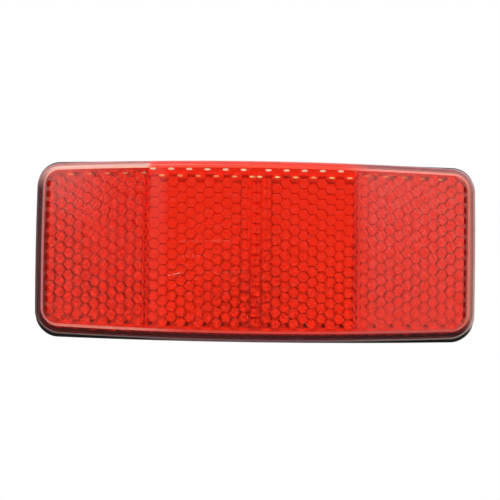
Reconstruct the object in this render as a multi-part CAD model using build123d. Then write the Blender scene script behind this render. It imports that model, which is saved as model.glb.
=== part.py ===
from build123d import *
import math
import os

os.makedirs("parts", exist_ok=True)

# A bicycle rear reflector: a clear red lens with a field of corner cubes moulded on its back,
# welded to a black housing that is held to a carrier by two captive studs.
# Millimetres. X runs across the reflector, Z is up and Y runs from the lens to the carrier.
# The origin is the middle of the plane that seats on the carrier, between the two studs.

# Outline of the lens, seen from the front
lens_width = 95.0
lens_height = 39.2
lens_top_radius = 860.0
lens_side_radius = 900.0
lens_corner_radius = 5.2

# Section of the lens, from its flange to its face
flange_thickness = 1.3
flange_width = 0.5
wall_height = 4.2
wall_draft = 1.0
bevel = 0.55
skin_thickness = 2.0
field_inset_x = 2.7
field_inset_z = 2.15

# Corner cubes on the back of the lens
cube_across_flats = 2.25
side_cant_deg = 4.5
left_zone_edge = 23.4
right_zone_edge = 21.4
seam_column_offset = 0.25
weld_overlap = 0.3

# Outline of the housing, which is squarer than the lens
housing_top_inset = 0.1
housing_side_inset = 0.1
housing_top_radius = 1500.0
housing_side_radius = 1200.0
housing_corner_radius = 4.9

# Section of the housing
housing_edge_height = 3.6
housing_wall = 1.9
plate_thickness = 2.0
back_chamfer = 0.8
lip_height = 1.2
lip_wall = 1.1
lip_clearance = 0.12
boss_height = 1.5
boss_radius = 7.0
boss_chamfer = 0.5
socket_wall = 1.6
rib_width = 2.0
rib_height = 0.8
rib_end_margin = 4.0

# Captive studs
stud_spacing = 50.0
stud_radius = 2.5
thread_mean_radius = 2.24
shoulder_radius = 3.2
head_across_flats = 8.0
head_thickness = 3.5
shoulder_length = 2.0
stud_projection = 13.0
stud_end_chamfer = 0.6
socket_clearance = 0.06
shoulder_clearance = 0.04

# Loose fasteners, spun on the studs with room for the carrier's plate under them
plate_gap = 3.0
washer_outer_radius = 5.0
washer_bore_radius = 2.65
washer_thickness = 1.0
spring_outer_radius = 4.6
spring_bore_radius = 2.6
spring_thickness = 1.2
spring_split = 0.8
spring_split_deg = 25.0
nut_across_flats = 8.0
nut_thickness = 4.0
nut_bore_clearance = 0.05
nut_countersink = 0.35
hex_corner_chamfer = 0.45

# Planes from the carrier's face forwards
plate_back = -boss_height
plate_front = plate_back - plate_thickness
rim_plane = plate_back - housing_edge_height
flange_front = rim_plane - flange_thickness
bevel_back = flange_front - wall_height
lens_face = bevel_back - bevel
skin_back = lens_face + skin_thickness

# Sizes that follow from the ones above
field_width = lens_width - 2 * field_inset_x
field_height = lens_height - 2 * field_inset_z
cube_edge = cube_across_flats / math.sqrt(2)
stud_places = (-stud_spacing / 2, stud_spacing / 2)
head_back = -shoulder_length
head_front = head_back - head_thickness
washer_seat = plate_gap
spring_seat = washer_seat + washer_thickness
nut_seat = spring_seat + spring_thickness


def plane_at(y):
    """The upright plane at depth y, looking from the carrier towards the lens."""
    return Plane(origin=(0, y, 0), x_dir=(1, 0, 0), z_dir=(0, -1, 0))


def arc_rise(radius, half_chord):
    """How far an arc of this radius stands above a chord of this half length."""
    return radius - math.sqrt(radius**2 - half_chord**2)


def bowed_outline(width, height, top_radius, side_radius, corner, y):
    """A rectangle whose four sides bulge as shallow arcs, with round corners, at depth y."""
    corner_x = width / 2 - arc_rise(side_radius, height / 2)
    corner_z = height / 2 - arc_rise(top_radius, width / 2)
    edges = [
        ThreePointArc((-corner_x, corner_z), (0, height / 2), (corner_x, corner_z)),
        ThreePointArc((corner_x, corner_z), (width / 2, 0), (corner_x, -corner_z)),
        ThreePointArc((corner_x, -corner_z), (0, -height / 2), (-corner_x, -corner_z)),
        ThreePointArc((-corner_x, -corner_z), (-width / 2, 0), (-corner_x, corner_z)),
    ]
    outline = make_face(edges)
    return plane_at(y) * fillet(outline.vertices(), corner)


def lens_outline(inset, y, inset_z=None):
    """The lens's outline moved inwards by the inset, at depth y."""
    down = inset if inset_z is None else inset_z
    return bowed_outline(
        lens_width - 2 * inset,
        lens_height - 2 * down,
        lens_top_radius - down,
        lens_side_radius - inset,
        lens_corner_radius - min(inset, down),
        y,
    )


def housing_outline(inset, y):
    """The housing's outline moved inwards by the inset, at depth y."""
    return bowed_outline(
        lens_width - 2 * housing_side_inset - 2 * inset,
        lens_height - 2 * housing_top_inset - 2 * inset,
        housing_top_radius - inset,
        housing_side_radius - inset,
        housing_corner_radius - inset,
        y,
    )


def forwards(outline, distance):
    """The outline carried towards the lens's face."""
    return extrude(outline, amount=distance)


def rod(radius, back, front, x):
    """A round rod along Y at this x, from one depth to another."""
    return forwards(plane_at(back) * Pos(x, 0) * Circle(radius), back - front)


def cube_edges(cant_deg, mirror):
    """The three edges that leave a cube's corner, each falling by the same depth.

    The first edge runs sideways and the other two up and down. Turning the cube by the cant
    about the upright axis and lengthening or shortening its edges to the same fall keeps
    neighbouring cells joined along their edges with no steps.
    """
    cant = math.radians(cant_deg)
    flat = math.sqrt(2 / 3)
    fall = math.sqrt(1 / 3)
    along = [(flat, 0.0), (-flat / 2, math.sqrt(1 / 2)), (-flat / 2, -math.sqrt(1 / 2))]
    step = cube_edge * fall
    edges = []
    for x, z in along:
        turned_x = x * math.cos(cant) - fall * math.sin(cant)
        turned_fall = fall * math.cos(cant) + x * math.sin(cant)
        scale = step / turned_fall
        edges.append(Vector(mirror * turned_x * scale, -step, z * scale))
    return edges


def cube_plate(low_x, high_x, first_x, cant_deg, mirror):
    """A plate of whole cells that covers the zone from low_x to high_x.

    Each cell is the corner of a block: three flat facets that meet at its deepest point. Edges
    that only one facet has are on the rim, where a wall drops to the plate's flat front.
    """
    a, b, c = cube_edges(cant_deg, mirror)
    fall = -a.Y
    apex_y = skin_back + 2 * fall
    base_y = skin_back - weld_overlap
    column_pitch = abs((a - b).X)
    row_pitch = abs((b - c).Z)
    first = math.floor((low_x - first_x) / column_pitch) - 1
    last = math.ceil((high_x - first_x) / column_pitch) + 1
    rows = math.ceil(field_height / 2 / row_pitch) + 1
    corners = {}
    facets = []

    def key(point):
        return (round(point.X, 4), round(point.Y, 4), round(point.Z, 4))

    def corner(point):
        return corners.setdefault(key(point), point)

    for column in range(first, last + 1):
        for row in range(-rows, rows + 1):
            apex = Vector(
                first_x + column * column_pitch,
                apex_y,
                (row + (column % 2) / 2) * row_pitch,
            )
            for one, two in ((a, b), (b, c), (c, a)):
                facets.append([corner(p) for p in (apex, apex + one, apex + one + two, apex + two)])

    uses = {}
    for facet in facets:
        for start, end in zip(facet, facet[1:] + facet[:1]):
            edge = frozenset((key(start), key(end)))
            uses.setdefault(edge, []).append((start, end))
    rim = {key(ends[0][0]): ends[0] for ends in uses.values() if len(ends) == 1}

    faces = [Face(Wire.make_polygon(facet, close=True)) for facet in facets]
    loop = []
    at = next(iter(rim))
    while len(loop) < len(rim):
        start, end = rim[at]
        foot_start = Vector(start.X, base_y, start.Z)
        foot_end = Vector(end.X, base_y, end.Z)
        faces.append(Face(Wire.make_polygon([start, end, foot_end, foot_start], close=True)))
        loop.append(foot_start)
        at = key(end)
    faces.append(Face(Wire.make_polygon(loop, close=True)))
    return Solid(Shell(faces))


def corner_cubes():
    """The field of cubes, zone by zone from left to right, cut to the lens's cavity."""
    a, b, c = cube_edges(0, 1)
    column_pitch = (a - b).X
    offset = seam_column_offset * column_pitch
    half = field_width / 2
    zones = [
        (-half, -left_zone_edge, -left_zone_edge, side_cant_deg, -1),
        (-left_zone_edge, 0, -offset, 0, -1),
        (0, right_zone_edge, offset, 0, 1),
        (right_zone_edge, half, right_zone_edge, side_cant_deg, 1),
    ]
    depth = 2 * cube_edge + weld_overlap
    field = forwards(lens_outline(field_inset_x, skin_back + depth, field_inset_z), 2 * depth)
    cubes = []
    for low_x, high_x, first_x, cant_deg, mirror in zones:
        plate = cube_plate(low_x, high_x, first_x, cant_deg, mirror)
        window = Pos((low_x + high_x) / 2, skin_back, 0) * Box(
            high_x - low_x, 2 * depth, lens_height
        )
        cubes.append(plate & (window & field))
    return cubes


def make_lens():
    """Flange, drafted wall and bevelled face, hollowed behind, with the cubes in the hollow."""
    wall_top = flange_width + wall_draft
    face_inset = wall_top + bevel
    body = forwards(lens_outline(0, rim_plane), flange_thickness)
    body += loft([lens_outline(flange_width, flange_front), lens_outline(wall_top, bevel_back)])
    body += loft([lens_outline(wall_top, bevel_back), lens_outline(face_inset, lens_face)])
    hollow_outline = lens_outline(field_inset_x, rim_plane, field_inset_z)
    body -= forwards(hollow_outline, rim_plane - (skin_back - weld_overlap))
    return body + corner_cubes()


def hexagon_socket(across_flats, back, front, x):
    """A hexagonal prism along Y with two flats level."""
    outline = plane_at(back) * Pos(x, 0) * RegularPolygon(across_flats / 2, 6, major_radius=False)
    return forwards(outline, back - front)


def hexagon_blank(across_flats, back, front, x, both_ends):
    """A hexagonal prism along Y whose corners are turned off at its front end, or at both."""
    prism = hexagon_socket(across_flats, back, front, x)
    turned = rod(across_flats / math.sqrt(3), back, front, x)
    rims = turned.edges().filter_by(GeomType.CIRCLE).sort_by(Axis.Y)
    return prism & chamfer(rims if both_ends else rims[:1], hex_corner_chamfer)


def make_housing():
    """A shallow tray with a rim under the flange, a lip inside the wall and two stud bosses."""
    block = forwards(housing_outline(0, plate_back), housing_edge_height)
    back_rim = block.faces().sort_by(Axis.Y)[-1].edges()
    tray = chamfer(back_rim, back_chamfer)
    tray -= forwards(housing_outline(housing_wall, plate_front), plate_front - rim_plane)

    lip_inset_x = field_inset_x + lip_clearance
    lip_inset_z = field_inset_z + lip_clearance
    lip_depth = plate_front - rim_plane + lip_height
    outer = forwards(lens_outline(lip_inset_x, plate_front, lip_inset_z), lip_depth)
    inner = forwards(
        lens_outline(lip_inset_x + lip_wall, plate_front, lip_inset_z + lip_wall), lip_depth
    )
    tray += outer - inner

    socket_front = head_front - socket_clearance
    socket_radius = head_across_flats / math.sqrt(3) + socket_wall
    ribs = housing_outline(rib_end_margin, plate_back) & (
        plane_at(plate_back) * Rectangle(lens_width, rib_width)
    )
    for x in stud_places:
        ribs += housing_outline(rib_end_margin, plate_back) & (
            plane_at(plate_back) * Pos(x, 0) * Rectangle(rib_width, lens_height)
        )
    tray += extrude(ribs, amount=-rib_height)
    for x in stud_places:
        boss = rod(boss_radius, 0, plate_back - plate_thickness / 2, x)
        boss_rim = boss.edges().filter_by(GeomType.CIRCLE).sort_by(Axis.Y)[-1]
        tray += chamfer(boss_rim, boss_chamfer)
        tray += rod(socket_radius, plate_front, socket_front, x)
    for x in stud_places:
        tray -= hexagon_socket(
            head_across_flats + 2 * socket_clearance, head_back, socket_front, x
        )
        tray -= rod(shoulder_radius + shoulder_clearance, 0, head_back, x)
    return tray


def make_stud(x):
    """Hexagon head, press shoulder through the plate, plain neck for the carrier, then thread."""
    head = hexagon_blank(head_across_flats, head_back, head_front, x, both_ends=False)
    shoulder = rod(shoulder_radius, 0, head_back, x)
    neck = rod(stud_radius, plate_gap, 0, x)
    thread = rod(thread_mean_radius, stud_projection, plate_gap, x)
    tip = thread.edges().filter_by(GeomType.CIRCLE).sort_by(Axis.Y)[-1]
    return head + shoulder + neck + chamfer(tip, stud_end_chamfer)


def make_washer(x):
    """A flat ring."""
    back = washer_seat + washer_thickness
    return rod(washer_outer_radius, back, washer_seat, x) - rod(
        washer_bore_radius, back, washer_seat, x
    )


def make_spring_washer(x):
    """A ring of square section with a slanted split at its top."""
    back = spring_seat + spring_thickness
    middle = (back + spring_seat) / 2
    ring = rod(spring_outer_radius, back, spring_seat, x)
    ring -= rod(spring_bore_radius, back, spring_seat, x)
    reach = 2 * spring_outer_radius
    split = Box(spring_split, 2 * reach, reach)
    return ring - Pos(x, middle, reach / 2) * Rot(0, 0, spring_split_deg) * split


def make_nut(x):
    """A hexagon nut, its corners turned off and its bore countersunk at both ends."""
    back = nut_seat + nut_thickness
    bore_radius = thread_mean_radius + nut_bore_clearance
    nut = hexagon_blank(nut_across_flats, back, nut_seat, x, both_ends=True)
    nut -= rod(bore_radius, back, nut_seat, x)
    bore = nut.edges().filter_by(GeomType.CIRCLE).sort_by(SortBy.RADIUS)[:2]
    return chamfer(bore, nut_countersink)


export_step(make_lens(), "parts/lens.step")
export_step(make_housing(), "parts/housing.step")
for side, place in zip(("left", "right"), stud_places):
    export_step(make_stud(place), f"parts/stud_{side}.step")
    export_step(make_washer(place), f"parts/washer_{side}.step")
    export_step(make_spring_washer(place), f"parts/spring_washer_{side}.step")
    export_step(make_nut(place), f"parts/nut_{side}.step")
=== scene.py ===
import math

import bpy
import numpy as np
from mathutils import Matrix, Vector


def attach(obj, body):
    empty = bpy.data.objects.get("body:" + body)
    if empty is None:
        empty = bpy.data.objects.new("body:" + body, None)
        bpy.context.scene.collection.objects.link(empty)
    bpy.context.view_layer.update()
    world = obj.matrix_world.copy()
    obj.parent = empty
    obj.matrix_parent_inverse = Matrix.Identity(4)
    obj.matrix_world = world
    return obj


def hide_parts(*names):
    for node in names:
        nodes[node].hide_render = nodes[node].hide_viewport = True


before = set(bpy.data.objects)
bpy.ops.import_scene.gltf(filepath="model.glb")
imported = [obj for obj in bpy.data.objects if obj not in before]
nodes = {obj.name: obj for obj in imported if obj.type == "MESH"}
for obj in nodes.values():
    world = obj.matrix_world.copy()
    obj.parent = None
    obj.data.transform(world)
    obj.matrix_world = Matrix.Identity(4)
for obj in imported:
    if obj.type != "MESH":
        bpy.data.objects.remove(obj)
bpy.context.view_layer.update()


# Camera
# A long lens looks at the reflector almost square on, from a little below and a little to the
# left, with the picture turned by under a degree. It frames the part as the photograph does.
camera_distance = 0.6
camera_below_deg = 5.0
camera_left_deg = 0.8
camera_roll_deg = 0.8
frame_pixels = 500
pixels_per_metre = 4619
rim_depth = -0.0051
part_centre_x = 255.6
part_centre_y = 251.7

camera_data = bpy.data.cameras.new("camera")
camera = bpy.data.objects.new("camera", camera_data)
bpy.context.scene.collection.objects.link(camera)
bpy.context.scene.camera = camera
camera_data.lens = camera_data.sensor_width * camera_distance * pixels_per_metre / frame_pixels
camera_data.shift_x = (frame_pixels / 2 - part_centre_x) / frame_pixels
camera_data.shift_y = (part_centre_y - frame_pixels / 2) / frame_pixels
camera.matrix_world = (
    Matrix.Translation((0, rim_depth, 0))
    @ Matrix.Rotation(-math.radians(camera_left_deg), 4, "Z")
    @ Matrix.Rotation(math.radians(90 + camera_below_deg), 4, "X")
    @ Matrix.Rotation(math.radians(camera_roll_deg), 4, "Z")
    @ Matrix.Translation((0, 0, camera_distance))
)
bpy.context.scene.view_settings.view_transform = "Standard"


# Studio
# A white room with a pale floor well below the part, which hangs by its mount. The room is darker
# low down, behind the part and round the camera. Two soft lamps stand above the part, one in
# front of it at the right and one behind it at the left.
class Graph:
    """A node tree that is built one node at a time."""

    def __init__(self, tree):
        self.tree = tree
        tree.nodes.clear()

    def add(self, kind, settings=None, inputs=None, output=0):
        """One node: its settings first, then the values or links of its inputs."""
        node = self.tree.nodes.new(kind)
        for name, value in (settings or {}).items():
            setattr(node, name, value)
        for name, value in (inputs or {}).items():
            socket = node.inputs[name]
            if isinstance(value, Value):
                self.tree.links.new(value.socket, socket)
            else:
                socket.default_value = value
        return Value(self, node.outputs[output]) if len(node.outputs) else None

    def blend(self, factor, first, second):
        """The first colour where the factor is 0 and the second where it is 1."""
        colours = {0: factor, 6: first, 7: second}
        return self.add("ShaderNodeMix", {"data_type": "RGBA"}, colours, 2)

    def noise(self, place, scale, detail=2.0, roughness=0.5):
        """Soft noise between 0 and 1."""
        inputs = {"Vector": place, "Scale": scale, "Detail": detail, "Roughness": roughness}
        return self.add("ShaderNodeTexNoise", {}, inputs)


class Value:
    """A socket that takes part in sums: each operator adds its Math node."""

    def __init__(self, graph, socket):
        self.graph = graph
        self.socket = socket

    def twin(self, output):
        """Another output of the same node."""
        return Value(self.graph, self.socket.node.outputs[output])

    def maths(self, operation, *others):
        """A Math node of this operation on this value and the others."""
        inputs = dict(enumerate((self, *others)))
        return self.graph.add("ShaderNodeMath", {"operation": operation}, inputs)

    def rise(self, low, high):
        """0 below the low value and 1 above the high one, with a smooth step between them."""
        inputs = {"Value": self, "From Min": low, "From Max": high}
        return self.graph.add("ShaderNodeMapRange", {"interpolation_type": "SMOOTHSTEP"}, inputs)

    def fall(self, low, high):
        """1 below the low value and 0 above the high one."""
        return 1 - self.rise(low, high)

    def span(self, at_none, at_full):
        """The first level where this value is 0 and the second where it is 1."""
        return self * (at_full - at_none) + at_none

    def at_least(self, *others):
        """The largest of this value and the others."""
        largest = self
        for other in others:
            largest = largest.maths("MAXIMUM", other)
        return largest

    def at_most(self, other):
        """The smaller of this value and the other."""
        return self.maths("MINIMUM", other)

    def __add__(self, other):
        return self.maths("ADD", other)

    def __mul__(self, other):
        return self.maths("MULTIPLY", other)

    def __sub__(self, other):
        return self.maths("SUBTRACT", other)

    def __truediv__(self, other):
        return self.maths("DIVIDE", other)

    def __rsub__(self, other):
        return (self * -1.0) + other

    def __abs__(self):
        return self.maths("ABSOLUTE")

    __radd__ = __add__
    __rmul__ = __mul__


def new_material(name):
    """A material with an empty tree, and the tree."""
    material = bpy.data.materials.new(name)
    material.use_nodes = True
    return material, Graph(material.node_tree)


def surface(graph, shader):
    """Ends a material's tree with this shader."""
    graph.add("ShaderNodeOutputMaterial", {}, {"Surface": shader})


def dress(piece, material):
    """Puts one material on a whole piece."""
    piece.data.materials.clear()
    piece.data.materials.append(material)


millimetres_per_metre = 1000.0


def millimetres(graph):
    """The place on the piece in millimetres, as a vector and as its three parts."""
    place = graph.add("ShaderNodeTexCoord", {}, {}, "Object")
    enlarge = {0: place, "Scale": millimetres_per_metre}
    scaled = graph.add("ShaderNodeVectorMath", {"operation": "SCALE"}, enlarge)
    x = graph.add("ShaderNodeSeparateXYZ", {}, {"Vector": scaled}, "X")
    return scaled, x, x.twin("Y"), x.twin("Z")


room_white = (1, 1, 1, 1)
room_level = 1.0
room_low_level = 0.2
upward_parts = (-0.5, 0.05)
far_wall_level = 0.12
far_right_level = 0.5
backward_parts = (0.3, 0.8)
rightward_parts = (0.1, 0.4)
camera_level = 0.03
camera_direction = (0.0, -0.996, 0.087)
dark_core = math.radians(7)
dark_reach = math.radians(16)

world = bpy.data.worlds.new("room")
bpy.context.scene.world = world
world.use_nodes = True
sky = Graph(world.node_tree)
direction = sky.add("ShaderNodeTexCoord", {}, {}, "Generated")
height = sky.add("ShaderNodeSeparateXYZ", {}, {"Vector": direction}, "Z")
level = height.rise(*upward_parts).span(room_low_level, room_level)
far_wall = height.twin("X").rise(*rightward_parts).span(far_wall_level, far_right_level)
level = level * (1 - height.twin("Y").rise(*backward_parts) * (1 - far_wall))
towards = sky.add("ShaderNodeVectorMath", {"operation": "DOT_PRODUCT"},
                  {0: direction, 1: camera_direction}, "Value")
level = level * (1 - towards.rise(math.cos(dark_reach), math.cos(dark_core)) * (1 - camera_level))
path = sky.add("ShaderNodeLightPath", {}, {}, "Is Camera Ray")
shown = level.at_least(path, path.twin("Is Transmission Ray"))
walls = sky.add("ShaderNodeBackground", {}, {"Color": room_white, "Strength": shown})
sky.add("ShaderNodeOutputWorld", {}, {"Surface": walls})

floor_level = -0.1
floor_reach = 2.0
floor_pale = (0.85, 0.85, 0.85, 1)
floor_in_gloss = (0.04, 0.04, 0.04, 1)
floor_mesh = bpy.data.meshes.new("floor")
floor_corners = [(-1, -1), (1, -1), (1, 1), (-1, 1)]
floor_mesh.from_pydata([(x * floor_reach, y * floor_reach, floor_level) for x, y in floor_corners],
                       [], [(0, 1, 2, 3)])
floor = bpy.data.objects.new("floor", floor_mesh)
bpy.context.scene.collection.objects.link(floor)
material, graph = new_material("floor_pale")
# To glossy rays the floor is near black: painted shade under the part, seen in its reflections.
path = graph.add("ShaderNodeLightPath", {}, {}, "Is Glossy Ray")
floor_colour = graph.blend(path, floor_pale, floor_in_gloss)
pale = graph.add("ShaderNodeBsdfDiffuse", {}, {"Color": floor_colour})
white = graph.add("ShaderNodeEmission", {}, {"Color": room_white, "Strength": room_level})
through_glass = path.twin("Is Transmission Ray")
surface(graph, graph.add("ShaderNodeMixShader", {}, {0: through_glass, 1: pale, 2: white}))
dress(floor, material)

lamp_width = 0.6
lamp_height = 0.4
for name, lamp_place, watts in (("front_softbox", (0.35, -0.55, 0.5), 1.5),
                                ("back_softbox", (-0.3, 0.6, 0.5), 2.5)):
    lamp_data = bpy.data.lights.new(name, "AREA")
    lamp_data.shape = "RECTANGLE"
    lamp_data.size = lamp_width
    lamp_data.size_y = lamp_height
    lamp_data.energy = watts
    lamp = bpy.data.objects.new(name, lamp_data)
    turn = Vector(lamp_place).to_track_quat("Z", "Y").to_matrix().to_4x4()
    lamp.matrix_world = Matrix.Translation(lamp_place) @ turn
    bpy.context.scene.collection.objects.link(lamp)


# Lens
# One injection moulding of clear red acrylic: a polished face, a drafted wall with a welding
# flange, and a field of corner cubes on its back. Age has hazed the outer zones, and the rim and
# wall carry a haze painted with light, shade and reflections.
lens_width = 95.0
lens_height = 39.2
lens_top_radius = 860.0
lens_side_radius = 900.0
lens_corner_radius = 5.2
lens_face = -11.15
flange_front = -6.4
left_zone_edge = 23.4
right_zone_edge = 21.4
cube_across_flats = 2.25
seam_column_offset = 0.25
side_cant_deg = 4.5
level_side_weight = 1.6
stroke_width = (0.05, 0.22)


def inside_outline(x, z):
    """How far a place lies inside the lens's outline, in millimetres.

    The outline is a rectangle with bowed sides and round corners. Past the corner circle's
    centre the distance is the circle's radius less the length to that centre, and elsewhere it
    is the distance to the nearer side.
    """
    across = lens_width / 2 - lens_corner_radius - z * z / (2 * lens_side_radius)
    up = lens_height / 2 - lens_corner_radius - x * x / (2 * lens_top_radius)
    over_x = abs(x) - across
    over_z = abs(z) - up
    round_x = over_x.at_least(0.0)
    round_z = over_z.at_least(0.0)
    corner = (round_x * round_x + round_z * round_z).maths("SQRT")
    side = over_x.at_least(over_z).at_most(0.0)
    return lens_corner_radius - corner - side


def stroke(x, z, start, end):
    """How much a place is marked by a thin stroke between two ends, from 0 to 1.

    The place is measured along the line from the one end to the other, held between them, and
    the mark fades with the distance to the point found there.
    """
    run_x = end[0] - start[0]
    run_z = end[1] - start[1]
    from_x = x - start[0]
    from_z = z - start[1]
    along = (from_x * run_x + from_z * run_z) / (run_x * run_x + run_z * run_z)
    along = along.at_least(0.0).at_most(1.0)
    off_x = from_x - along * run_x
    off_z = from_z - along * run_z
    return (off_x * off_x + off_z * off_z).maths("SQRT").fall(*stroke_width)


def cube_vectors(cant_deg):
    """A cube's three edges from its deepest point, as arrays of x and z.

    The edges of a cube that stands on its corner, turned by the cant about the upright axis and
    drawn out to the same fall, as the mould's pins are ground.
    """
    edge = cube_across_flats / math.sqrt(2)
    x = np.array([math.sqrt(2 / 3), -math.sqrt(1 / 6), -math.sqrt(1 / 6)])
    fall = np.full(3, math.sqrt(1 / 3))
    z = np.array([0.0, math.sqrt(1 / 2), -math.sqrt(1 / 2)])
    cant = math.radians(cant_deg)
    turned_x = x * math.cos(cant) - fall * math.sin(cant)
    turned_fall = fall * math.cos(cant) + x * math.sin(cant)
    scale = edge * fall / turned_fall
    return turned_x * scale, z * scale


def cell_edge(x, z, cant_deg):
    """How far a place lies inside its six-sided cell, in millimetres.

    The cells tile the plane in two sets of columns, the second half a pitch across and up from
    the first. In each set the place is folded to its nearest cell centre, and the distance is
    the least of those to the level sides, weighted so that their outlines are thinner, and to
    the slanted ones. The larger of the two sets' distances counts.
    """
    vector_x, vector_z = cube_vectors(cant_deg)
    column_pitch = vector_x[0] - vector_x[1]
    row_pitch = vector_z[1] - vector_z[2]
    middle = vector_x.sum() / 2
    slope = math.hypot(vector_x[1], vector_z[1])
    slant_x = vector_z[1] / slope
    slant_z = -vector_x[1] / slope
    slant_reach = abs(vector_x[0] - vector_x[2]) / 2 * slant_x + abs(vector_z[2]) / 2 * slant_z
    inside = []
    for shift in (0.0, 0.5):
        start_x = x - (middle + 2 * shift * column_pitch)
        start_z = z - shift * row_pitch
        turns_x = (start_x / (2 * column_pitch)).maths("ROUND")
        turns_z = (start_z / row_pitch).maths("ROUND")
        near_x = abs(start_x - turns_x * (2 * column_pitch))
        near_z = abs(start_z - turns_z * row_pitch)
        level_side = (row_pitch / 2 - near_z) * level_side_weight
        slanted_side = slant_reach - (near_x * slant_x + near_z * slant_z)
        inside.append(level_side.at_most(slanted_side))
    return inside[0].at_least(inside[1])


# Which side, zone and face of the lens a place is on
side_blur = 0.01
zone_blur = 0.02
back_depths = (-9.9, -9.4)
back_insets = (1.9, 2.1)
face_depths = (lens_face + 0.01, lens_face + 0.05)

material, graph = new_material("lens_red")
place, x, y, z = millimetres(graph)
inset = inside_outline(x, z)
right_side = x.rise(-side_blur, side_blur)
left_side = 1 - right_side
past_zone_edge = abs(x) - right_side.span(left_zone_edge, right_zone_edge)
outer_zone = past_zone_edge.rise(-zone_blur, zone_blur)
middle_zone = 1 - outer_zone
centre_pitch = cube_across_flats * math.sqrt(3) / 2
from_seam_column = abs(x) - seam_column_offset * centre_pitch
centre_cell = cell_edge(from_seam_column, z, cant_deg=0.0)
side_cell = cell_edge(past_zone_edge, z, side_cant_deg)
cell = centre_cell + (side_cell - centre_cell) * outer_zone
behind = y.rise(*back_depths) * inset.rise(*back_insets)
front = y.fall(*face_depths)
rim = (1 - behind) * (1 - front)

# Painted shade along the cells' outlines, standing in for the light lost at their edges, and
# painted shading across each cell, darker towards its edge. The outlines are darker low down and
# round the middle, and fainter in the outer zones. Over the cubes lies a thin pale haze, more low
# down, round the middle, near the seam and in the left zone, and a little more over the seam, the
# zones' edges and the field's edge, where it lifts their shade as painted light. Levels are given
# high up and low down.
outline_width = (0.05, 0.3)
outline_levels = (0.025, 0.225)
outline_loss_left_right = (0.6, 0.8)
lower_heights = (-16.0, 12.0)
patch_limits = (0.35, 0.65)
patch_levels = (0.5, 1.4)
outline_middle_x = -1.0
outline_middle_width = (2.0, 13.0)
outline_middle_heights = (-2.0, 12.0)
shade_width = (0.1, 0.85)
shade_levels = (0.005, 0.045)
dull_middle_x = -2.0
dull_middle_width = (2.0, 20.0)
dull_middle_level = 0.04
dull_low_level = 0.02
dull_least_level = 0.002
dull_left_zone_level = 0.035
near_seam_width = (2.0, 7.0)
near_seam_level = 0.02
seam_width = (0.9, 1.9)
seam_level = 0.02
boundary_width = (0.2, 0.7)
boundary_level = 0.01
field_edge_insets = (2.3, 3.2)
field_edge_level = 0.05
tint_width = (0.1, 0.7)
outline_pale = (0.95, 0.95, 0.95, 1)
outline_shade = (0.3, 0.25, 0.25, 1)

low_down = z.fall(*lower_heights)
outline_patches = graph.noise(place, scale=0.14, detail=3.0, roughness=0.6)
outline_patches = outline_patches.rise(*patch_limits).span(*patch_levels)
outline_middle = abs(x - outline_middle_x).fall(*outline_middle_width) * z.fall(*outline_middle_heights)
outline_kept = 1 - outer_zone * right_side.span(*outline_loss_left_right)
outline_haze = cell.fall(*outline_width) * low_down.span(*outline_levels)
outline_haze = outline_haze * outline_kept * (outline_patches + outline_middle)
cell_shade = cell.fall(*shade_width) * low_down.span(*shade_levels)
middle_haze = abs(x - dull_middle_x).fall(*dull_middle_width) * low_down * dull_middle_level
near_seam_haze = abs(x).fall(*near_seam_width) * near_seam_level
cube_haze = outline_haze + cell_shade + near_seam_haze + middle_haze
cube_haze = cube_haze + low_down.span(dull_least_level, dull_least_level + dull_low_level)
cube_haze = cube_haze + outer_zone * left_side * dull_left_zone_level
field_edge = inset.fall(*field_edge_insets)
seam_haze = abs(x).fall(*seam_width) * seam_level
boundary_haze = abs(past_zone_edge).fall(*boundary_width) * boundary_level
edge_haze = seam_haze.at_least(boundary_haze, field_edge * field_edge_level)
cube_haze = cube_haze.at_least(edge_haze)
# Painted shade: the haze is pale in the cells and grey along their outlines.
outline_tint = graph.blend(cell.fall(*tint_width) * (1 - edge_haze), outline_pale, outline_shade)

# The pale film on the polished face, thicker far out at the left, high up, and in a strip inside
# the left zone's edge, with specks and scuffs, and fine slanting marks in the outer zones.
film_cloud_levels = (0.6, 1.4)
high_heights = (2.0, 18.0)
left_zone_reach = (-24.6, -23.4)
far_left_reach = (-46.0, -26.0)
left_film_levels = (0.004, 0.016)
far_left_high_level = 0.07
strip_start = (-23.6, -22.4)
strip_end = (-21.0, -18.5)
strip_heights = (-10.0, 16.0)
strip_levels = (0.008, 0.03)
right_zone_reach = (20.6, 21.9)
right_film_levels = (0.014, 0.034)
right_zone_inner_width = (2.0, 4.0)
right_zone_inner_level = 0.01
speck_limits = (0.5, 0.72)
speck_level = 0.015
scuff_limits = (0.5, 0.7)
scuff_level = 0.02
slant_across = 0.82
slant_up = 0.57
slant_fineness = 2.2
slant_length = 0.5
slant_limits = (0.42, 0.62)
slant_start = (0.2, 2.2)
slant_heights = (-16.0, 4.0)
slant_levels = (0.006, 0.02)
slant_left_right = (1.0, 1.6)

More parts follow.
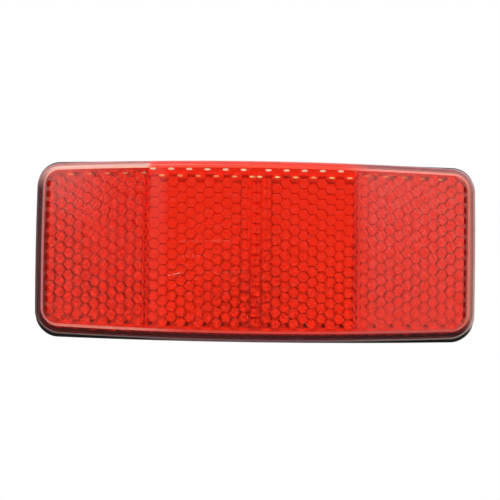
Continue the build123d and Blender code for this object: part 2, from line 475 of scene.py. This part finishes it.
high_up = z.rise(*high_heights)
right_zone = x.rise(*right_zone_reach)
far_left = x.fall(*far_left_reach)
left_film = far_left.span(*left_film_levels) + high_up * far_left * far_left_high_level
strip_film = x.rise(*strip_start) * x.fall(*strip_end) * z.rise(*strip_heights).span(*strip_levels)
right_film = past_zone_edge.rise(*right_zone_inner_width) * right_zone_inner_level
right_film = high_up.span(*right_film_levels) + right_film
film = x.fall(*left_zone_reach) * left_film + strip_film + right_zone * right_film
cloud = graph.noise(place, scale=0.06, detail=3.0).span(*film_cloud_levels)
specks = graph.noise(place, scale=0.9, detail=3.0, roughness=0.6).rise(*speck_limits)
scuffs = graph.noise(place, scale=2.4, detail=3.0, roughness=0.7).rise(*scuff_limits)
across_slant = (abs(x) * slant_across + z * slant_up) * slant_fineness
along_slant = (z * slant_across - abs(x) * slant_up) * slant_length
slant_place = graph.add("ShaderNodeCombineXYZ", {}, {"X": across_slant, "Y": along_slant})
slant_marks = graph.noise(slant_place, scale=1.0).rise(*slant_limits)
slant_marks = slant_marks * past_zone_edge.rise(*slant_start)
slant_marks = slant_marks * z.rise(*slant_heights).span(*slant_levels)
pale_haze = film * cloud + specks * speck_level + scuffs * scuff_level
pale_haze = pale_haze + slant_marks * right_side.span(*slant_left_right)

# The red of the plastic under the face, which veils the cells a little. Over the steps at the seam,
# at the zones' edges and along the top of the field it is thicker: painted red light that lifts
# their shade. Pairs are left and right, or low and high.
veil_heights = (-14.0, 14.0)
veil_levels = (0.06, 0.21)
right_veil_width = (3.0, 4.5)
right_veil_levels = (0.16, 0.2)
seam_step_x = 1.35
seam_step_width = (0.25, 0.55)
seam_step_heights = (-14.0, 10.0)
seam_step_levels = (0.25, 0.65)
near_step_left_right = (0.1, 0.3)
near_step_width = (0.1, 0.4)
near_step_level = 0.35
far_step_left_right = (0.76, 0.66)
far_step_width = (0.15, 0.4)
far_step_levels = (0.35, 0.5)
face_start = (1.95, 2.05)
top_and_bottom_heights = (14.5, 15.5)
edge_step_level = 0.5
upper_half = (-1.0, 1.0)
top_step_insets = (3.2, 4.2)
top_step_level = 0.7

right_veil = right_zone * past_zone_edge.fall(*right_veil_width).span(*right_veil_levels)
seam_step_level = z.rise(*seam_step_heights).span(*seam_step_levels)
seam_step = abs(abs(x) - seam_step_x).fall(*seam_step_width) * seam_step_level
near_step = abs(past_zone_edge + right_side.span(*near_step_left_right)).fall(*near_step_width)
far_step = abs(past_zone_edge - right_side.span(*far_step_left_right)).fall(*far_step_width)
far_step = far_step * right_side.span(*far_step_levels)
top_step = z.rise(*upper_half) * middle_zone * inset.fall(*top_step_insets) * top_step_level
edge_step = (field_edge * edge_step_level).at_least(top_step)
edge_step = inset.rise(*face_start) * abs(z).rise(*top_and_bottom_heights) * edge_step
red_haze = z.rise(*veil_heights).span(*veil_levels)
red_haze = red_haze.at_least(right_veil, seam_step, near_step * near_step_level, far_step, edge_step)
face_haze = pale_haze + red_haze

# Painted glints where the topmost cubes would catch a lamp: two rows in the middle zone and one
# fainter, redder row along the outline in the outer zones. Each is a small ragged ellipse of painted
# highlight on the face.
left_column_shift = 0.45
glint_half_width = 0.62
glint_half_height = 0.23
glint_rim = (0.3, 1.3)
glint_row_height = 15.62
glint_row_pitch = 1.47
glint_row_inset = 3.1
glint_heights = (10.0, 12.0)
outer_glint_loss = 0.3
outer_odd_loss = 0.7
outer_glint_end = (42.0, 43.0)
glint_first_seed = 0.37
glint_levels = (0.4, 0.9)
left_lower_loss = 0.5
ragged_limits = (0.35, 0.6)
ragged_levels = (0.5, 1.0)
lower_glint = (1.0, 0.68, 0.28, 1)
upper_glint = (1.0, 0.66, 0.46, 1)
outer_glint = (1.0, 0.42, 0.2, 1)

column = (from_seam_column - left_side * left_column_shift) / centre_pitch
nearest = column.maths("ROUND")
odd = nearest.maths("MODULO", 2.0)
glint_x = (column - nearest) * (centre_pitch / glint_half_width)
from_row = z - glint_row_height - odd * glint_row_pitch
from_row = from_row + (inset - glint_row_inset - from_row) * outer_zone
glint_z = from_row / glint_half_height
glint = (glint_x * glint_x + glint_z * glint_z).fall(*glint_rim) * z.rise(*glint_heights)
outer_loss = odd * outer_odd_loss + abs(x).rise(*outer_glint_end) + outer_glint_loss
glint = glint * (1 - outer_zone * outer_loss).at_least(0.0)
seed = nearest * (right_side * 2 - 1) + glint_first_seed
uneven = graph.add("ShaderNodeTexWhiteNoise", {"noise_dimensions": "1D"}, {"W": seed})
ragged = graph.noise(place, scale=3.5).rise(*ragged_limits).span(*ragged_levels)
left_loss = left_side * (1 - odd) * middle_zone * left_lower_loss
glint = glint * uneven.span(*glint_levels) * (1 - left_loss) * ragged
glint_colour = graph.blend(outer_zone, graph.blend(odd, lower_glint, upper_glint), outer_glint)

# Scratches on the left half, two dark specks at the right zone's edge, painted shade as dark beads
# down both sides where the outermost cubes are cut off, and a painted highlight in the bevel's
# colour along the edge of the face at the right.
deep_scratch = ((-18.68, -5.91), (-15.79, -5.18))
deep_scratch_level = 0.4
fine_scratches = (
    ((-11.93, -5.23), (-2.29, -4.88)),
    ((-16.31, 1.44), (-5.6, 1.81)),
    ((-16.27, -1.74), (-8.77, -1.53)),
)
fine_scratch_level = 0.1
scratch_breaks = (0.3, 0.6)
upper_speck = ((21.1, 0.5), (21.1, 0.65))
lower_speck = ((21.2, -8.6), (21.2, -8.4))
dark_speck_level = 0.6
bead_height = (0.15, 0.35)
bead_levels = (0.25, 1.0)
bead_insets_left_right = (2.75, 2.5)
bead_width = (0.25, 0.6)
bead_reach = (38.0, 40.0)
bead_heights = (13.0, 16.0)
bead_left_right = (1.0, 0.6)
bead_level = 0.65
edge_highlight_insets = (2.3, 2.45)
edge_highlight_reach = (42.0, 44.0)
edge_highlight_levels = (0.4, 0.9)

scratch = stroke(x, z, *deep_scratch) * deep_scratch_level
for start, end in fine_scratches:
    scratch = scratch.at_least(stroke(x, z, start, end) * fine_scratch_level)
scratch = scratch * graph.noise(place, scale=1.2, detail=3.0, roughness=0.6).rise(*scratch_breaks)
dark_speck = stroke(x, z, *upper_speck).at_least(stroke(x, z, *lower_speck))
row = z / cube_across_flats
bead = abs(row - row.maths("ROUND")).fall(*bead_height)
# Painted shade: dark beads where the cut-off cubes lose their light.
dark_bead = abs(inset - right_side.span(*bead_insets_left_right)).fall(*bead_width)
dark_bead = dark_bead * abs(x).rise(*bead_reach) * abs(z).fall(*bead_heights)
dark_bead = dark_bead * bead.span(*bead_levels) * right_side.span(*bead_left_right)
dark_haze = (dark_speck * dark_speck_level).at_least(dark_bead * bead_level)
# Painted highlight: the bevel's colour along the face's edge at the right, broken by scuffs.
edge_highlight = inset.fall(*edge_highlight_insets) * x.rise(*edge_highlight_reach)
edge_highlight = edge_highlight * scuffs.span(*edge_highlight_levels)

# The rim's four layers from the outline inwards: the flange's edge, its ledge, the drafted wall and
# the bevel. Each is painted with its own light, shade and reflection along every side, for the part
# of the room it would show: pale highlights at the top and right, darker along the left and bottom.
top_left_reach = (-24.0, -22.4)
top_right_reach = (17.0, 27.0)
bottom_left_reach = (-27.0, -14.0)
bottom_right_reach = (14.0, 30.0)
top_heights = (12.0, 17.5)
bottom_heights = (-17.5, -14.5)
ledge_insets = (0.14, 0.2)
wall_start = (0.45, 0.5)
wall_end = (1.45, 1.55)


def around(left, right, top_left, top_middle, top_right, bottom_left, bottom_middle, bottom_right):
    """One layer's painted light and shade all round the lens.

    The left and right colours meet at the middle. Near the top and near the bottom they give
    way to that side's three colours, each blended into the next across a stretch of x.
    """
    sides = graph.blend(right_side, (*left, 1), (*right, 1))
    top = graph.blend(x.rise(*top_left_reach), (*top_left, 1), (*top_middle, 1))
    top = graph.blend(x.rise(*top_right_reach), top, (*top_right, 1))
    bottom = graph.blend(x.rise(*bottom_left_reach), (*bottom_left, 1), (*bottom_middle, 1))
    bottom = graph.blend(x.rise(*bottom_right_reach), bottom, (*bottom_right, 1))
    sides_and_top = graph.blend(z.rise(*top_heights), sides, top)
    return graph.blend(z.fall(*bottom_heights), sides_and_top, bottom)


edge_colour = around(
    left=(0.14, 0.12, 0.12), right=(0.6, 0.5, 0.46),
    top_left=(0.6, 0.36, 0.36), top_middle=(0.96, 0.36, 0.32), top_right=(0.72, 0.48, 0.5),
    bottom_left=(0.018, 0.016, 0.014), bottom_middle=(0.22, 0.14, 0.14),
    bottom_right=(0.024, 0.024, 0.019),
)
ledge_colour = around(
    left=(0.18, 0.11, 0.11), right=(0.6, 0.43, 0.38),
    top_left=(0.74, 0.32, 0.34), top_middle=(0.96, 0.19, 0.17), top_right=(0.54, 0.2, 0.22),
    bottom_left=(0.29, 0.2, 0.19), bottom_middle=(0.3, 0.16, 0.17),
    bottom_right=(0.38, 0.3, 0.28),
)
wall_colour = around(
    left=(0.08, 0.012, 0.017), right=(0.4, 0.06, 0.05),
    top_left=(0.95, 0.5, 0.4), top_middle=(1, 0.03, 0.008), top_right=(0.48, 0.19, 0.16),
    bottom_left=(0.1, 0.005, 0.005), bottom_middle=(0.12, 0.007, 0.008),
    bottom_right=(0.07, 0.01, 0.012),
)
bevel_colour = around(
    left=(0.6, 0.17, 0.17), right=(0.74, 0.16, 0.11),
    top_left=(1, 0.48, 0.38), top_middle=(1, 0.07, 0.03), top_right=(1, 0.28, 0.23),
    bottom_left=(0.86, 0.24, 0.18), bottom_middle=(0.78, 0.07, 0.05),
    bottom_right=(0.6, 0.11, 0.1),
)
in_from_ledge = inset.rise(*wall_start)
in_from_wall = inset.rise(*wall_end)
rim_colour = graph.blend(inset.rise(*ledge_insets), edge_colour, ledge_colour)
rim_colour = graph.blend(in_from_ledge, rim_colour, wall_colour)
rim_colour = graph.blend(in_from_wall, rim_colour, bevel_colour)

# How hazed the rim is, which is how much of its painted light, shade and reflection shows: the
# drafted wall is clearer than the ledge and bevel beside it, save along the top, and so are the
# flange's sides, which show the red of the plastic.
rim_haze_level = 0.86
wall_haze_level = 0.45
wall_top_heights = (11.0, 18.5)
wall_top_levels = (0.15, 0.45)
wall_middle_width = (22.5, 25.0)
wall_right_reach = (44.0, 46.0)
wall_right_level = 0.1
mottle_levels = (0.8, 1.2)
flange_depths = (flange_front + 0.02, flange_front + 0.06)
flange_heights = (-18.0, -16.5)
flange_loss = 0.45
flange_red = (0.5, 0.05, 0.03, 1)

wall_haze = z.rise(*wall_top_heights) * abs(x).fall(*wall_middle_width).span(*wall_top_levels)
wall_haze = wall_haze + x.rise(*wall_right_reach) * wall_right_level + wall_haze_level
wall_band = in_from_ledge * (1 - in_from_wall)
mottle = graph.noise(place, scale=0.45, detail=4.0, roughness=0.6).span(*mottle_levels)
rim_haze = rim * (rim_haze_level - wall_band * (rim_haze_level - wall_haze)) * mottle
flange_side = y.rise(*flange_depths) * z.rise(*flange_heights)
rim_haze = rim_haze * (1 - flange_side * flange_loss)
rim_colour = graph.blend(flange_side, rim_colour, flange_red)

# The clear red plastic, and over it the haze of whichever part a place is on
clear_red = (1.0, 0.027, 0.007, 1)
veil_red = (1.0, 0.02, 0.004, 1)
film_white = (0.9, 0.85, 0.8, 1)
scratch_pink = (1.0, 0.4, 0.3, 1)
dark_red = (0.3, 0.008, 0.004, 1)
pale_mark_limits = (0.0, 0.1)
dark_mark_limits = (0.1, 0.3)
highlight_mark_limits = (0.1, 0.4)

haze = behind * cube_haze + front * face_haze + rim_haze
haze = haze.at_least(front * glint.at_least(scratch, dark_haze, edge_highlight))
face_colour = graph.blend(pale_haze / face_haze, veil_red, film_white)
face_colour = graph.blend(scratch.rise(*pale_mark_limits), face_colour, scratch_pink)
face_colour = graph.blend(dark_haze.rise(*dark_mark_limits), face_colour, dark_red)
face_colour = graph.blend(edge_highlight.rise(*highlight_mark_limits), face_colour, bevel_colour)
face_colour = graph.blend(glint.rise(*pale_mark_limits), face_colour, glint_colour)
haze_colour = graph.blend(behind, rim_colour, outline_tint)
haze_colour = graph.blend(front, haze_colour, face_colour)
clear = graph.add("ShaderNodeBsdfPrincipled", {}, {
    "Base Color": clear_red,
    "Roughness": 0.02,
    "IOR": 1.49,
    "Transmission Weight": 1.0,
})
hazed = graph.add("ShaderNodeBsdfPrincipled", {}, {
    "Base Color": haze_colour,
    "Roughness": 0.3,
    "Specular IOR Level": 0.1,
})
surface(graph, graph.add("ShaderNodeMixShader", {}, {0: haze, 1: clear, 2: hazed}))
dress(nodes["lens"], material)


# Housing
# A shallow tray of black plastic with a fine spark-eroded grain, welded to the lens's flange and
# painted white inside as a stand-in for stray light. Handling has greyed its edges, and dust lies
# along its ribs and bosses.
plate_back = -1.5
plate_front = -3.5
back_chamfer = 0.8
side_inset = 0.1
rib_half_width = 1.0
rib_back = -0.7
rib_end_inset = 4.1
boss_radius = 7.0
boss_chamfer = 0.5
stud_reach = 25.0
grain_depth = 0.000012
mark_depth = 0.00012
edge_rounding = 0.00018


def from_axis(x, z):
    """The distance to the nearer stud's axis, in millimetres."""
    across = abs(x) - stud_reach
    return (across * across + z * z).maths("SQRT")


def bump(graph, height, depth, normal=None):
    """A normal that follows a height between 0 and 1, for a relief of this depth in metres."""
    inputs = {"Height": height, "Distance": depth, "Strength": 1.0}
    if normal:
        inputs["Normal"] = normal
    return graph.add("ShaderNodeBump", {}, inputs)


material, graph = new_material("housing_black")
place, x, y, z = millimetres(graph)
inset = inside_outline(x, z)
radius = from_axis(x, z)
patches = graph.noise(place, scale=0.35, detail=4.0, roughness=0.6)
scuffs = graph.noise(place, scale=1.7, detail=5.0, roughness=0.7)

# Painted light: white on every face inside the tray, standing in for the stray light seen through
# the lens
stray_light_insets = (1.3, 1.5)
stray_light_depths = (plate_front + 0.05, plate_front + 0.15)
stray_light_lining = inset.rise(*stray_light_insets) * y.fall(*stray_light_depths)

# Grey wear on the edges of the back, the ribs and the bosses
outer_edge_width = (0.05, 0.3)
outer_edge_depths = (plate_back - 2.0, plate_back - back_chamfer)
plate_edge_width = (0.05, 0.35)
plate_edge_depths = (plate_back - 0.15, plate_back - 0.05)
rib_edge_width = (0.0, 0.4)
rib_edge_depths = (rib_back - 0.15, rib_back - 0.05)
rib_edge_start = (boss_radius, boss_radius + 0.5)
rib_edge_level = 0.5
boss_edge_width = (0.03, 0.25)
boss_edge_depths = (-0.1, -0.02)
boss_edge_level = 0.7
wear_scuff_limits = (0.4, 0.7)
wear_patch_limits = (0.42, 0.62)
outer_edge = abs(inset - side_inset).fall(*outer_edge_width) * y.rise(*outer_edge_depths)
plate_edge = abs(inset - side_inset - back_chamfer).fall(*plate_edge_width)
plate_edge = plate_edge * y.rise(*plate_edge_depths)
across_rib = abs(abs(x) - stud_reach) - rib_half_width
to_rib = (abs(z) - rib_half_width).at_most(across_rib).at_least(rib_end_inset - inset)
rib_edge = abs(to_rib).fall(*rib_edge_width) * y.rise(*rib_edge_depths)
rib_edge = rib_edge * radius.rise(*rib_edge_start)
boss_edge = abs(radius - boss_radius + boss_chamfer).fall(*boss_edge_width)
boss_edge = boss_edge * y.rise(*boss_edge_depths)
edges = outer_edge.at_least(plate_edge, boss_edge * boss_edge_level, rib_edge * rib_edge_level)
wear = edges * scuffs.rise(*wear_scuff_limits) * patches.rise(*wear_patch_limits)

# Dust in the angles where ribs and bosses meet the plate
dust_width = (0.0, 1.1)
dust_front = (plate_back - 0.1, plate_back - 0.05)
dust_back = (plate_back + 0.05, plate_back + 0.2)
dust_levels = (0.12, 0.67)
dust_scuff_limits = (0.35, 0.75)
dust_patch_limits = (0.5, 0.8)
dust_patch_level = 0.1
to_wall = to_rib.at_least(0.0).at_most((radius - boss_radius).at_least(0.0))
angle_dust = to_wall.fall(*dust_width) * y.rise(*dust_front) * y.fall(*dust_back)
dust = angle_dust.span(*dust_levels) * scuffs.rise(*dust_scuff_limits)
dust = dust + patches.rise(*dust_patch_limits) * dust_patch_level

# The ring where the plastic was fed into the mould, on the middle of the long rib
gate_outside = (0.5, 0.6)
gate_inside = (0.25, 0.35)
gate_hollow = 0.8
gate_depths = (rib_back - 0.05, rib_back - 0.02)
from_gate = (x * x + z * z).maths("SQRT")
gate = from_gate.fall(*gate_outside) - from_gate.fall(*gate_inside) * gate_hollow

wear_strength = 0.75
plastic_roughness = 0.36
grain_roughness = 0.12
dust_roughness = 0.35
wear_polish = 0.1
housing_black = (0.011, 0.011, 0.012, 1)
dust_grey = (0.11, 0.1, 0.09, 1)
worn_grey = (0.17, 0.17, 0.17, 1)
stray_light_white = (0.95, 0.93, 0.93, 1)
plastic = graph.blend(dust, housing_black, dust_grey)
plastic = graph.blend(wear * wear_strength, plastic, worn_grey)
grain = graph.noise(place, scale=4.5, roughness=0.6)
round_edges = graph.add("ShaderNodeBevel", {"samples": 4}, {"Radius": edge_rounding})
relief = bump(graph, grain, grain_depth, round_edges)
relief = bump(graph, gate * y.rise(*gate_depths), mark_depth, relief)
roughness = grain * grain_roughness + dust * dust_roughness - wear * wear_polish
surface(graph, graph.add("ShaderNodeBsdfPrincipled", {}, {
    "Base Color": graph.blend(stray_light_lining, plastic, stray_light_white),
    "Roughness": roughness + plastic_roughness,
    "Normal": relief,
}))
dress(nodes["housing"], material)


# Studs
# Two bolts of zinc-plated steel. Each has a hexagon head in the housing's socket, a press
# shoulder, a plain neck where the carrier's plate goes, and a rolled thread with a turned tip.
head_front = -5.5
head_back = -2.0
head_across_flats = 8.0
corner_chamfer = 0.45
chamfer_rows = 7
shoulder_radius = 3.2
neck_radius = 2.5
thread_start = 3.0
stud_end = 13.0
thread_pitch = 0.8
thread_crest = 2.47
thread_height = 0.46
half_flat = 0.125
tip_chamfer = 0.5
points_round = 96
rows_per_pitch = 14
sharp_angle = math.radians(32)


def hexagon_radius(angle, across_flats):
    """A hexagon's radius: half its width over the cosine of the angle from a flat's middle."""
    return across_flats / 2 / np.cos(angle % (np.pi / 3) - np.pi / 6)


def below_crest(angle, y):
    """How far a right-hand thread lies below its crest, in millimetres.

    The turn is the depth in pitches plus the angle in full circles, less its whole part. Half
    a turn away from the crest lies the root, and the flanks between them are straight, with an
    eighth of the pitch left flat at each.
    """
    turn = (y / thread_pitch + angle / (2 * np.pi)) % 1
    from_crest = abs(2 * turn - 1)
    return np.clip((from_crest - half_flat) / (1 - 2 * half_flat), 0, 1) * thread_height


def turned_piece(name, centre_x, radius, y, ring):
    """A closed piece round an axis along Y, from its radius and depth at each row and angle.

    A place is the axis plus the radius times the angle's cosine in x and its sine in z. Each row
    is joined to the next by four-sided faces, and its end to its start. The last row is joined
    to the first in a ring, and otherwise a fan of triangles closes each end.
    """
    rows = len(radius)
    angle = np.linspace(0, 2 * np.pi, points_round, endpoint=False)
    places = np.stack([centre_x + radius * np.cos(angle), y, radius * np.sin(angle)], axis=-1)
    number = np.arange(rows * points_round).reshape(rows, points_round)
    beside = np.roll(number, -1, axis=1)
    above = np.roll(number, -1, axis=0)
    faces = np.stack([number, above, np.roll(beside, -1, axis=0), beside], axis=-1)
    corners = places.reshape(-1, 3)
    if ring:
        faces = faces.reshape(-1, 4).tolist()
    else:
        corners = np.vstack([corners, places[0].mean(axis=0), places[-1].mean(axis=0)])
        first = np.full(points_round, len(corners) - 2)
        first_fan = np.stack([first, number[0], beside[0]], axis=-1)
        last_fan = np.stack([first + 1, beside[-1], number[-1]], axis=-1)
        faces = faces[:-1].reshape(-1, 4).tolist() + np.vstack([first_fan, last_fan]).tolist()
    mesh = bpy.data.meshes.new(name)
    mesh.from_pydata((corners / millimetres_per_metre).tolist(), [], faces)
    mesh.shade_smooth()
    mesh.set_sharp_from_angle(angle=sharp_angle)
    piece = bpy.data.objects.new(name, mesh)
    bpy.context.scene.collection.objects.link(piece)
    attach(piece, "root")
    return piece


def stud_rows():
    """A stud's radius and depth at each row and angle.

    The head is a hexagon under a cone at its front. The shoulder and the neck are round. The
    thread is its crest less the depth of the cut, which fades in over the first pitch, under a
    cone at the tip.
    """
    chamfer_end = head_front + corner_chamfer
    head_y = np.append(np.linspace(head_front, chamfer_end, chamfer_rows), head_back)
    plain_y = np.array([head_back, 0.0, 0.0, thread_start])
    thread_rows = round((stud_end - thread_start) / thread_pitch * rows_per_pitch)
    thread_y = np.linspace(thread_start, stud_end, thread_rows)
    angle = np.linspace(0, 2 * np.pi, points_round, endpoint=False)
    turned_corner = head_across_flats / math.sqrt(3) - corner_chamfer + head_y - head_front
    head = np.minimum(hexagon_radius(angle, head_across_flats), turned_corner[:, None])
    plain = np.array([shoulder_radius, shoulder_radius, neck_radius, neck_radius])
    cut_in = np.clip((thread_y - thread_start) / thread_pitch, 0, 1)[:, None]
    thread = thread_crest - below_crest(angle, thread_y[:, None]) * cut_in
    cone = thread_crest - tip_chamfer + stud_end - thread_y
    thread = np.minimum(thread, cone[:, None])
    radius = np.vstack([head, np.repeat(plain[:, None], points_round, axis=1), thread])
    y = np.concatenate([head_y, plain_y, thread_y])
    return radius, np.repeat(y[:, None], points_round, axis=1)


grime_radii = (2.02, 2.34)
grime_start = (thread_start, thread_start + 0.4)
grime_limits = (0.25, 0.6)
grime_brown = (0.16, 0.14, 0.12, 1)
bloom_limits = (0.35, 0.65)
zinc_blue = (0.6, 0.62, 0.65, 1)
zinc_yellow = (0.68, 0.66, 0.61, 1)
plating_relief = 0.000006
grime_strength = 0.7
grime_cover = 0.5
zinc_roughness = 0.14
bloom_roughness = 0.16
grit_roughness = 0.12
grime_roughness = 0.25

material, graph = new_material("stud_zinc")
place, x, y, z = millimetres(graph)
radius = from_axis(x, z)
bloom = graph.noise(place, scale=0.5, detail=3.0, roughness=0.6)
grit = graph.noise(place, scale=5.0, detail=3.0, roughness=0.6)
grime = radius.fall(*grime_radii) * y.rise(*grime_start) * grit.rise(*grime_limits)
plating = graph.blend(bloom.rise(*bloom_limits), zinc_blue, zinc_yellow)
roughness = bloom * bloom_roughness + grit * grit_roughness + grime * grime_roughness
surface(graph, graph.add("ShaderNodeBsdfPrincipled", {}, {
    "Base Color": graph.blend(grime * grime_strength, plating, grime_brown),
    "Metallic": 1 - grime * grime_cover,
    "Roughness": roughness + zinc_roughness,
    "Normal": bump(graph, grit, plating_relief),
}))
for side, centre_x in (("left", -stud_reach), ("right", stud_reach)):
    stud = turned_piece("threaded_stud_" + side, centre_x, *stud_rows(), ring=False)
    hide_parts("stud_" + side)
    dress(stud, material)


# Flat washers
# Two rings punched from zinc-plated strip. Their faces carry fine rings from the nut's turning,
# and their rims the bright band that the punch sheared.
washer_radius = 5.0
washer_seat = 3.0
ring_spacing = 0.09
rim_radii = (washer_radius - 0.06, washer_radius - 0.01)
sheared_depths = (washer_seat + 0.35, washer_seat + 0.5)
stain_limits = (0.55, 0.75)
strip_dark = (0.56, 0.57, 0.6, 1)
strip_pale = (0.66, 0.66, 0.65, 1)
stain_brown = (0.4, 0.37, 0.33, 1)
washer_relief = 0.000005
ring_height = 0.5
ring_share = 0.5
stain_strength = 0.5
washer_roughness = 0.24
spangle_roughness = 0.1
stain_roughness = 0.2
sheared_polish = 0.12
washer_grit_roughness = 0.1

material, graph = new_material("washer_zinc")
place, x, y, z = millimetres(graph)
radius = from_axis(x, z)
spangle = graph.add("ShaderNodeTexVoronoi", {}, {"Vector": place, "Scale": 0.9}, "Color")
spangle = graph.add("ShaderNodeSeparateColor", {}, {"Color": spangle}, "Red")
grit = graph.noise(place, scale=4.0, detail=3.0, roughness=0.6)
on_rim = radius.rise(*rim_radii)
sheared = on_rim * y.fall(*sheared_depths)
rings = (radius * (2 * math.pi / ring_spacing)).maths("SINE")
rubbed = (1 - on_rim) * rings * ring_height
stain = graph.noise(place, scale=0.6, detail=4.0, roughness=0.6).rise(*stain_limits)
plating = graph.blend(spangle, strip_dark, strip_pale)
roughness = spangle * spangle_roughness + stain * stain_roughness - sheared * sheared_polish
roughness = roughness + grit * washer_grit_roughness + washer_roughness
surface(graph, graph.add("ShaderNodeBsdfPrincipled", {}, {
    "Base Color": graph.blend(stain * stain_strength, plating, stain_brown),
    "Metallic": 1.0,
    "Roughness": roughness,
    "Normal": bump(graph, rubbed * ring_share + grit, washer_relief),
}))
for side in ("left", "right"):
    dress(nodes["washer_" + side], material)


# Spring washers
# Two split rings coiled from square steel wire, hardened and dulled to a dark grey, with the
# draw marks of the wire round them and paler corners where the nut has rubbed.
spring_radius = 4.6
spring_back = 5.2
corner_radii = (spring_radius - 0.25, spring_radius - 0.02)
corner_depths = (spring_back - 0.25, spring_back)
draw_fineness = 6.0
rub_limits = (0.35, 0.6)
scale_limits = (0.3, 0.7)
steel_dark = (0.2, 0.195, 0.19, 1)
steel_grey = (0.33, 0.32, 0.31, 1)
steel_rubbed = (0.58, 0.57, 0.55, 1)
spring_relief = 0.00001
scale_share = 0.6
rub_strength = 0.8
spring_roughness = 0.3
scale_roughness = 0.25
rub_polish = 0.15

material, graph = new_material("spring_steel")
place, x, y, z = millimetres(graph)
radius = from_axis(x, z)
scale_marks = graph.noise(place, scale=1.6, detail=5.0, roughness=0.65)
draw_lines = {"X": radius * draw_fineness, "Y": y * draw_fineness}
draw_place = graph.add("ShaderNodeCombineXYZ", {}, draw_lines)
drawn = graph.noise(draw_place, scale=1.0, detail=3.0)
corner = radius.rise(*corner_radii) * y.rise(*corner_depths)
rub = corner * scale_marks.rise(*rub_limits)
steel = graph.blend(scale_marks.rise(*scale_limits), steel_dark, steel_grey)
surface(graph, graph.add("ShaderNodeBsdfPrincipled", {}, {
    "Base Color": graph.blend(rub * rub_strength, steel, steel_rubbed),
    "Metallic": 1.0,
    "Roughness": scale_marks * scale_roughness - rub * rub_polish + spring_roughness,
    "Normal": bump(graph, drawn + scale_marks * scale_share, spring_relief),
}))
for side in ("left", "right"):
    dress(nodes["spring_washer_" + side], material)


# Nuts
# Two hexagon nuts of zinc-plated steel, their corners turned off at both ends and their threads
# countersunk. The tool marks stay on their end faces, and a spanner has bruised their corners.
nut_across_flats = 8.0
nut_seat = 5.2
nut_back = 9.2
nut_countersink = 0.35
thread_clearance = 0.03
turning_spacing = 0.12


def nut_rows():
    """A nut's radius and depth at each row and angle, once round its section.

    The bore follows the stud's thread at a small clearance, over a cone at each end. The
    outside is a hexagon under a cone at each end.
    """
    angle = np.linspace(0, 2 * np.pi, points_round, endpoint=False)
    bore_rows = round((nut_back - nut_seat) / thread_pitch * rows_per_pitch)
    bore_y = np.linspace(nut_back, nut_seat, bore_rows)
    thread = thread_crest + thread_clearance - below_crest(angle, bore_y[:, None])
    to_end = np.minimum(nut_back - bore_y, bore_y - nut_seat)
    bore = np.maximum(thread, (thread_crest + nut_countersink / 2 - to_end)[:, None])
    chamfer_y = np.linspace(0, corner_chamfer, chamfer_rows)
    outer_y = np.concatenate([nut_seat + chamfer_y, nut_back - chamfer_y[::-1]])
    to_end = np.minimum(nut_back - outer_y, outer_y - nut_seat)
    turned_corner = nut_across_flats / math.sqrt(3) - corner_chamfer + to_end
    outer = np.minimum(hexagon_radius(angle, nut_across_flats), turned_corner[:, None])
    y = np.concatenate([bore_y, outer_y])
    return np.vstack([bore, outer]), np.repeat(y[:, None], points_round, axis=1)


back_end_depths = (nut_back - 0.03, nut_back - 0.01)
seat_end_depths = (nut_seat + 0.01, nut_seat + 0.03)
bruise_radii = (4.25, 4.55)
bruise_limits = (0.4, 0.62)
bore_grime_radii = (2.3, 2.6)
bore_grime_limits = (0.2, 0.6)
nut_zinc_blue = (0.58, 0.6, 0.63, 1)
nut_zinc_yellow = (0.68, 0.67, 0.62, 1)
bruise_bright = (0.8, 0.8, 0.8, 1)
nut_relief = 0.000008
turning_height = 0.5
grit_share = 0.6
bruise_share = 2.0
bruise_strength = 0.6
nut_roughness = 0.16
nut_grit_roughness = 0.1
bruise_roughness = 0.15

material, graph = new_material("nut_zinc")
place, x, y, z = millimetres(graph)
radius = from_axis(x, z)
bloom = graph.noise(place, scale=0.45, detail=3.0, roughness=0.6)
grit = graph.noise(place, scale=4.5, detail=3.0, roughness=0.6)
dents = graph.noise(place, scale=1.3, detail=4.0, roughness=0.6)
on_end = y.rise(*back_end_depths) + y.fall(*seat_end_depths)
turning = (radius * (2 * math.pi / turning_spacing)).maths("SINE") * on_end * turning_height
bruise = radius.rise(*bruise_radii) * dents.rise(*bruise_limits)
grime = radius.fall(*bore_grime_radii) * grit.rise(*bore_grime_limits)
plating = graph.blend(bloom.rise(*bloom_limits), nut_zinc_blue, nut_zinc_yellow)
plating = graph.blend(bruise * bruise_strength, plating, bruise_bright)
roughness = bloom * bloom_roughness + grit * nut_grit_roughness + bruise * bruise_roughness
height = turning + grit * grit_share + bruise * bruise_share
surface(graph, graph.add("ShaderNodeBsdfPrincipled", {}, {
    "Base Color": graph.blend(grime * grime_strength, plating, grime_brown),
    "Metallic": 1.0,
    "Roughness": roughness + nut_roughness,
    "Normal": bump(graph, height, nut_relief),
}))
for side, centre_x in (("left", -stud_reach), ("right", stud_reach)):
    nut = turned_piece("tapped_nut_" + side, centre_x, *nut_rows(), ring=True)
    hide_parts("nut_" + side)
    dress(nut, material)
